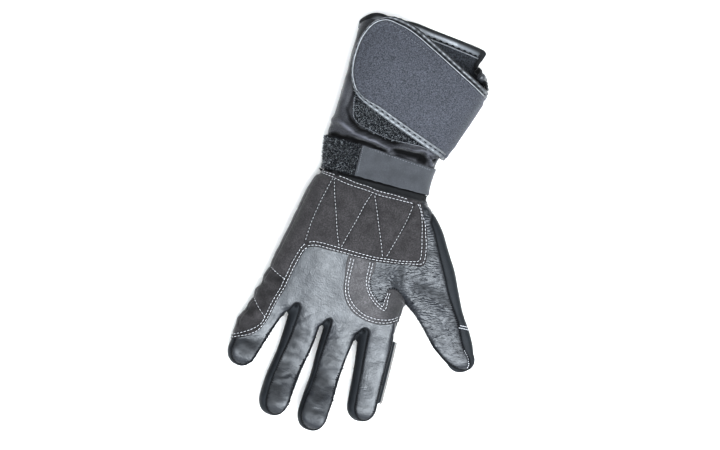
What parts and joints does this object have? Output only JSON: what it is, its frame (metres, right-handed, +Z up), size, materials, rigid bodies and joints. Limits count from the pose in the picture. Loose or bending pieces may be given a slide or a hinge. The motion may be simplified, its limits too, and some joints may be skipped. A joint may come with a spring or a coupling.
{
  "type": "winter riding glove",
  "caption": "Left-hand winter riding glove with a gauntlet cuff: leather palm with a quilted pad, wrist strap, wide rounded closing flap and a wiper blade on the index finger.",
  "frame": {"origin": "centre of the bounding box seen from above, on the surface that the glove lies on", "axes": "+Z up, with the palm up; +Y from the fingertips to the cuff's mouth; +X to the thumb's side"},
  "size_m": [0.2004, 0.3466, 0.0476],
  "materials": {
    "palm_leather": "smooth, with a soft sheen",
    "grained_leather": "coarse grain, with a soft sheen",
    "suede": "matt, brushed",
    "softshell": "matt, fine knit",
    "cuff_textile": "matt, coarse weave with light flecks",
    "loop_tape": "matt, looped pile",
    "binding_leather": "smooth, with a soft sheen",
    "rubber": "satin"
  },
  "bodies": {
    "root": {"back_panel": "softshell", "palm_leather": "palm_leather", "index_face": "palm_leather", "middle_face": "palm_leather", "ring_face": "palm_leather", "pinky_face": "palm_leather", "thumb_leather": "grained_leather", "fourchette_index_middle": "softshell", "fourchette_middle_ring": "softshell", "fourchette_ring_pinky": "softshell", "index_thumb_side_strip": "softshell", "pinky_side_strip": "softshell", "thumb_side_panel": "softshell", "palm_pad": "suede", "crotch_patch": "suede", "cuff_back": "cuff_textile", "cuff_palm_side": "cuff_textile", "mouth_binding": "binding_leather", "cuff_loop_patch": "loop_tape", "wrist_loop_tape": "loop_tape", "wrist_strap": "suede", "closure_flap": "cuff_textile", "flap_binding": "binding_leather", "visor_wiper": "rubber"}
  },
  "joints": []
}
